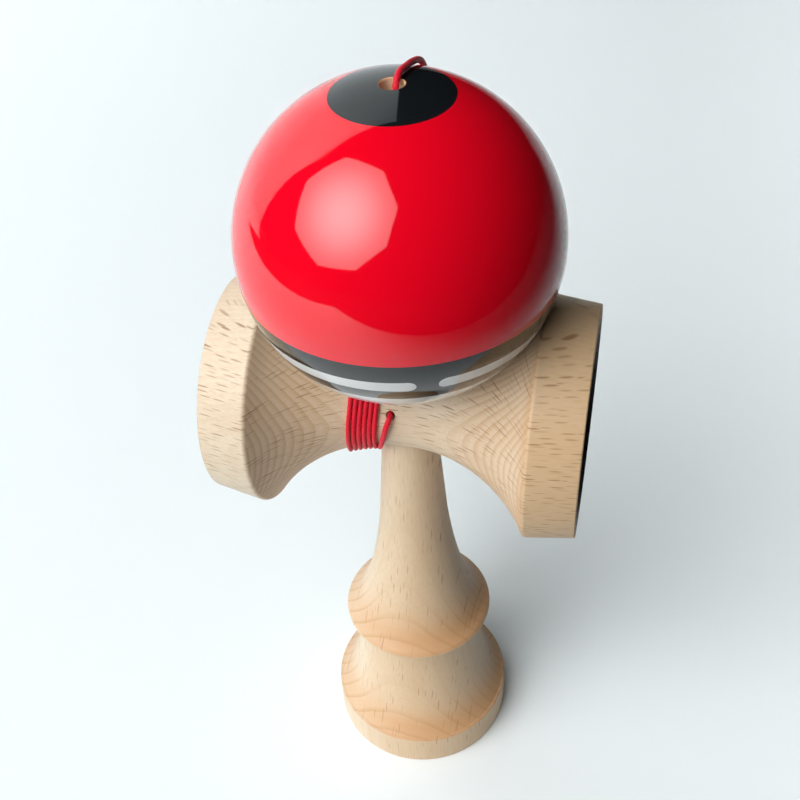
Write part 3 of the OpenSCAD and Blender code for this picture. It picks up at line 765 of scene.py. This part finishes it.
def ball_outline():
    """The ball from the mouth of its spike hole, over its outside and back through its holes."""
    bevel_r = STRING_HOLE_R + STRING_HOLE_BEVEL * BEVEL_SHARE
    bevel_z = BALL_Z + math.sqrt(BALL_R ** 2 - bevel_r ** 2)
    mouth = -math.degrees(math.acos(MOUTH_R / BALL_R))
    crown = math.degrees(math.acos(bevel_r / BALL_R))
    return arc((0, BALL_Z), BALL_R, mouth, crown, BALL_POINTS) + [
        (STRING_HOLE_R, bevel_z - STRING_HOLE_BEVEL * BEVEL_SHARE),
        (STRING_HOLE_R, POINT_Z),
        (SPIKE_HOLE_R, POINT_Z - DRILL_DEPTH),
        (SPIKE_HOLE_R, MOUTH_Z + MOUTH_BEVEL),
        (MOUTH_R, MOUTH_Z)]


def bead_outline():
    """The bead from its lower hole, over its outside and back through the hole."""
    low = math.degrees(math.acos(STRING_BORE_R / BEAD_R))
    return arc((0, BEAD_Z), BEAD_R, -low, low, CURVE_POINTS) + [
        (STRING_BORE_R, BEAD_Z - BEAD_R * math.sin(math.radians(low)))]


UP = (0, 0, 1)
ACROSS = (1, 0, 0)
BACK_ACROSS = (-1, 0, 0)
HOLE_OVER = 4
# How squarely a face of the cross-piece looks outwards where it is in the hollow of a cup
CUP_FACING = 0.5
# How far under the ball's outside a face still has lacquer
LACQUER_SKIN = 0.02

# Grain along Z in the handle and the ball, and along X in the cross-piece, with the rays along Y.
# The pith lies behind the handle, and in front of the cross-piece.
# The handle is painted tanner on its right side, away from the light, as painted shade
ken_beech = turned_beech(
    "turned_beech_ken", turn=(0, 0, math.radians(185)), shift=(0, 0, 0), ring_width=2.6, ring_wave=1.6,
    line_start=0.7, least_ray=0.7, ray_share=0.55, end_share=0.95, tan=(BACK_ACROSS, -14, 5, 0.6))
# The cross-piece is painted tanner at its big cup's end, on the right away from the light, as painted shade
sarado_beech = turned_beech(
    "turned_beech_sarado", turn=(0, math.radians(-90), math.radians(3)), shift=(SARADO_HEIGHT, 11, 0),
    ring_width=1.3, ring_wave=1.4, line_start=0.4, least_ray=0, ray_share=0.75, end_share=0.5,
    tan=(UP, EDGE_X - 2, EDGE_X + 1, 0.85))

ken = turned("ken_turned", ken_outline(), ACROSS, UP)
hole_y = SEAT_R + HOLE_OVER
drill(ken, (-STRING_EXIT_SIDE, -hole_y, STRING_EXIT_Z), (-STRING_EXIT_SIDE, KEN_KNOT_Y, STRING_EXIT_Z),
      STRING_BORE_R, STRING_BORE_R)
drill(ken, (-STRING_EXIT_SIDE, KEN_KNOT_Y - KNOT_SEAT, STRING_EXIT_Z),
      (-STRING_EXIT_SIDE, hole_y, STRING_EXIT_Z), KNOT_ROOM, KNOT_ROOM)
finish_turning(ken, UP)
put_on(ken, "ken", "ken", "beech", ken_beech)

small_end = [(r, -h) for r, h in cup_end(SMALL_CUP_R)]
big_end = list(reversed(cup_end(BIG_CUP_R)))
sarado = turned("sarado_turned", small_end + big_end, UP, ACROSS, (0, 0, SARADO_HEIGHT))
bore_low = SARADO_HEIGHT - NECK_R - SEAT_OVER
bore_high = SARADO_HEIGHT + NECK_R + SEAT_OVER
drill(sarado, (0, 0, bore_low), (0, 0, bore_high),
      seat_r(bore_low) + SEAT_CLEARANCE, seat_r(bore_high) + SEAT_CLEARANCE)
drill(sarado, (-STRING_EXIT_SIDE, -NECK_R - HOLE_OVER, STRING_EXIT_Z), (-STRING_EXIT_SIDE, 0, STRING_EXIT_Z),
      STRING_BORE_R, STRING_BORE_R)
finish_turning(sarado, ACROSS)
put_on(sarado, "ken", "sarado", "beech", sarado_beech, cup_paint())
for face in sarado.data.polygons:
    outward = math.copysign(face.normal.x, face.normal.x * face.center.x)
    lip_r = (BIG_CUP_R if face.center.x > 0 else SMALL_CUP_R) - CUP_LIP
    from_axis = math.hypot(face.center.y, face.center.z - SARADO_HEIGHT * MM)
    face.material_index = 1 if outward > CUP_FACING and from_axis < lip_r * MM else 0

tama = turned("tama_turned", ball_outline(), ACROSS, UP)
finish_turning(tama, UP)
put_on(tama, "tama", "tama", "lacquered_beech", gloss_lacquer(), ken_beech)
for face in tama.data.polygons:
    from_centre = (face.center / MM - Vector((0, 0, BALL_Z))).length
    face.material_index = 0 if from_centre > BALL_R - LACQUER_SKIN else 1

bead = turned("bead_turned", bead_outline(), ACROSS, UP)
finish_turning(bead, UP)
put_on(bead, "bead", "bead", "bead_plastic", bead_plastic())


# Stage and light: a white sheet that rises behind the kendama, and one big soft light

FLOOR_SIZE = 8
WALL_DISTANCE = 0.75
WALL_HEIGHT = 1.95
WALL_LEFT = 1.36
WALL_RIGHT = 0.2
WALL_AZIMUTH = math.radians(116)
SWEEP_RADIUS = 0.12
SHEET_CORNER = Vector((-0.268, -0.512, 0))
SHEET_RIGHT = Vector((0.321, -0.069, 0))
SHEET_LEFT = Vector((-0.63, -0.079, 0))
CARD_SIZE = 4
CARD_LIFT = 0.001
LIGHT_DIRECTION = Vector((-0.439, -0.604, 0.666))
LIGHT_DISTANCE = 1.8
LIGHT_RADIUS = 1.26
LIGHT_TURN = math.radians(-8)
LIGHT_EDGE = 2.25
LIGHT_MIDDLE = 6.8
WORLD_LIGHT = "#121416"
# Where the sheet turns grey to all but the camera, along a line to the right and towards the camera
SHADE_LINE = Vector((0.912, -0.41, 0))
SHADE_START = -0.01
SHADE_END = 0.24
# How far from the kendama the sheet starts to glow for the camera and for reflections
GLOW_START = 0.1
GLOW_END = 0.6
GLOW = 0.12
# How far to the right the sheet starts to glow for the camera alone
RIGHT_START = 0.03
RIGHT_END = 0.16
GLOW_RIGHT = 0.11
PAPER_ROUGH = 0.9
PAPER_SPECULAR = 0.1
LIGHT_SIDES = 8


def dark_card():
    """Black matt card, which gives the ball dark reflections."""
    material, tree, surface = new_material("dark_card")
    surface.inputs["Base Color"].default_value = paint("#141516")
    surface.inputs["Roughness"].default_value = PAPER_ROUGH
    surface.inputs["Specular IOR Level"].default_value = PAPER_SPECULAR
    return material


def lit_paper():
    """Matt coated paper under the studio light. The eye gets an even white that stays white far
    behind the kendama, and keeps its shadow. Off the camera's view its right side is a dim grey,
    which leaves the shaded side of the ball dark."""
    material, tree, surface = new_material("white_paper")
    place = add(tree, "TexCoord").outputs["Object"]
    rays = add(tree, "LightPath").outputs
    across = add(tree, "VectorMath", {0: place, 1: SHADE_LINE}, operation="DOT_PRODUCT").outputs["Value"]
    shade = add(tree, "MapRange", {
        "Value": across, 1: SHADE_START, 2: SHADE_END, 3: 0, 4: 1},
        interpolation_type="SMOOTHSTEP").outputs[0]
    off_camera = add(tree, "Math", {0: 1, 1: rays["Is Camera Ray"]}, operation="SUBTRACT").outputs[0]
    shaded = add(tree, "Math", {0: shade, 1: off_camera}, operation="MULTIPLY").outputs[0]
    colour = add(tree, "Mix", {
        0: shaded, 6: paint("#F3FAFC"), 7: paint("#50555A")}, data_type="RGBA").outputs[2]

    far = add(tree, "VectorMath", {0: place}, operation="LENGTH").outputs["Value"]
    far_part = add(tree, "MapRange", {
        "Value": far, 1: GLOW_START, 2: GLOW_END, 3: 0, 4: GLOW},
        interpolation_type="SMOOTHSTEP").outputs[0]
    unshaded = add(tree, "Math", {0: 1, 1: shaded}, operation="SUBTRACT").outputs[0]
    shown = add(tree, "Math", {
        0: rays["Is Camera Ray"], 1: rays["Is Glossy Ray"]}, operation="ADD", use_clamp=True).outputs[0]
    glow_part = add(tree, "Math", {0: shown, 1: unshaded}, operation="MULTIPLY").outputs[0]
    right = add(tree, "SeparateXYZ", {0: place}).outputs[0]
    right_part = add(tree, "MapRange", {
        "Value": right, 1: RIGHT_START, 2: RIGHT_END, 3: 0, 4: GLOW_RIGHT},
        interpolation_type="SMOOTHSTEP").outputs[0]
    right_glow = add(tree, "Math", {
        0: right_part, 1: rays["Is Camera Ray"]}, operation="MULTIPLY").outputs[0]
    glow = add(tree, "Math", {0: far_part, 1: glow_part, 2: right_glow}, operation="MULTIPLY_ADD").outputs[0]
    tree.links.new(colour, surface.inputs["Base Color"])
    tree.links.new(glow, surface.inputs["Emission Strength"])
    surface.inputs["Emission Color"].default_value = paint("#F3FAFC")
    surface.inputs["Roughness"].default_value = PAPER_ROUGH
    surface.inputs["Specular IOR Level"].default_value = PAPER_SPECULAR
    return material


def unseen(piece, *rays):
    """Leaves a stage piece out of some kinds of rays."""
    for ray in rays:
        setattr(piece, "visible_" + ray, False)


paper = lit_paper()
bpy.ops.object.select_all(action="DESELECT")
bpy.ops.mesh.primitive_plane_add(size=FLOOR_SIZE)
floor = bpy.context.object
floor.name = "floor"
floor.data.materials.append(paper)

# The wall is one row of faces, extruded along a profile that curves up from the floor
back = Vector((math.cos(WALL_AZIMUTH), math.sin(WALL_AZIMUTH), 0))
left = Vector((-back.y, back.x, 0))
sweep = [(WALL_DISTANCE - SWEEP_RADIUS + SWEEP_RADIUS * math.sin(a), SWEEP_RADIUS * (1 - math.cos(a)))
         for a in np.linspace(0, math.pi / 2, ARC_POINTS)] + [(WALL_DISTANCE, WALL_HEIGHT)]
rows = [back * d + Vector((0, 0, h + CARD_LIFT)) for d, h in sweep]
bpy.ops.object.select_all(action="DESELECT")
bpy.ops.mesh.primitive_plane_add(size=1)
wall = bpy.context.object
wall.name = "wall"
bpy.ops.object.mode_set(mode="EDIT")
bpy.ops.mesh.select_all(action="SELECT")
bpy.ops.mesh.merge(type="CENTER")
bpy.ops.transform.translate(value=rows[0] + left * WALL_LEFT)
bpy.ops.mesh.extrude_vertices_move(
    TRANSFORM_OT_translate={"value": left * -(WALL_LEFT + WALL_RIGHT)})
bpy.ops.mesh.select_all(action="SELECT")
for before, after in zip(rows, rows[1:]):
    bpy.ops.mesh.extrude_edges_move(TRANSFORM_OT_translate={"value": after - before})
bpy.ops.object.mode_set(mode="OBJECT")
bpy.ops.object.shade_smooth()
wall.data.materials.append(paper)

# Dark cards beyond the two near edges of the sheet, which keep the room's side of the ball dark
dark = dark_card()
for name, end, turn in (("card_right", SHEET_RIGHT, -1), ("card_left", SHEET_LEFT, 1)):
    edge = (end - SHEET_CORNER).normalized()
    out = Vector((-edge.y, edge.x, 0)) * turn
    bpy.ops.object.select_all(action="DESELECT")
    bpy.ops.mesh.primitive_plane_add(size=CARD_SIZE)
    card = bpy.context.object
    card.name = name
    card.rotation_euler.z = math.atan2(edge.y, edge.x)
    card.location = SHEET_CORNER + out * CARD_SIZE / 2 + Vector((0, 0, CARD_LIFT))
    card.data.materials.append(dark)
    unseen(card, "camera", "transmission", "shadow")

bpy.ops.object.select_all(action="DESELECT")
bpy.ops.mesh.primitive_circle_add(
    vertices=LIGHT_SIDES, radius=LIGHT_RADIUS, fill_type="NGON",
    location=Vector((0, 0, BALL_Z)) * MM + LIGHT_DIRECTION * LIGHT_DISTANCE,
    rotation=(LIGHT_DIRECTION.to_track_quat("Z", "Y") @ Quaternion((0, 0, 1), LIGHT_TURN)).to_euler())
softbox = bpy.context.object
softbox.name = "softbox"
# White diffusing cloth: an even light that is brightest in its middle
glow, glow_tree, glow_surface = new_material("softbox_cloth")
glow_place = add(glow_tree, "TexCoord").outputs["Object"]
glow_out = add(glow_tree, "VectorMath", {0: glow_place}, operation="LENGTH").outputs["Value"]
glow_strength = add(glow_tree, "MapRange", {
    "Value": glow_out, 1: 0, 2: LIGHT_RADIUS, 3: LIGHT_MIDDLE, 4: LIGHT_EDGE},
    interpolation_type="SMOOTHSTEP").outputs[0]
glow_surface.inputs["Base Color"].default_value = paint("#000000")
glow_surface.inputs["Emission Color"].default_value = paint("#FFFFFF")
glow_tree.links.new(glow_strength, glow_surface.inputs["Emission Strength"])
softbox.data.materials.append(glow)
unseen(softbox, "camera")

world = bpy.data.worlds.new("dim_room")
scene.world = world
world.use_nodes = True
world.node_tree.nodes["Background"].inputs["Color"].default_value = paint(WORLD_LIGHT)
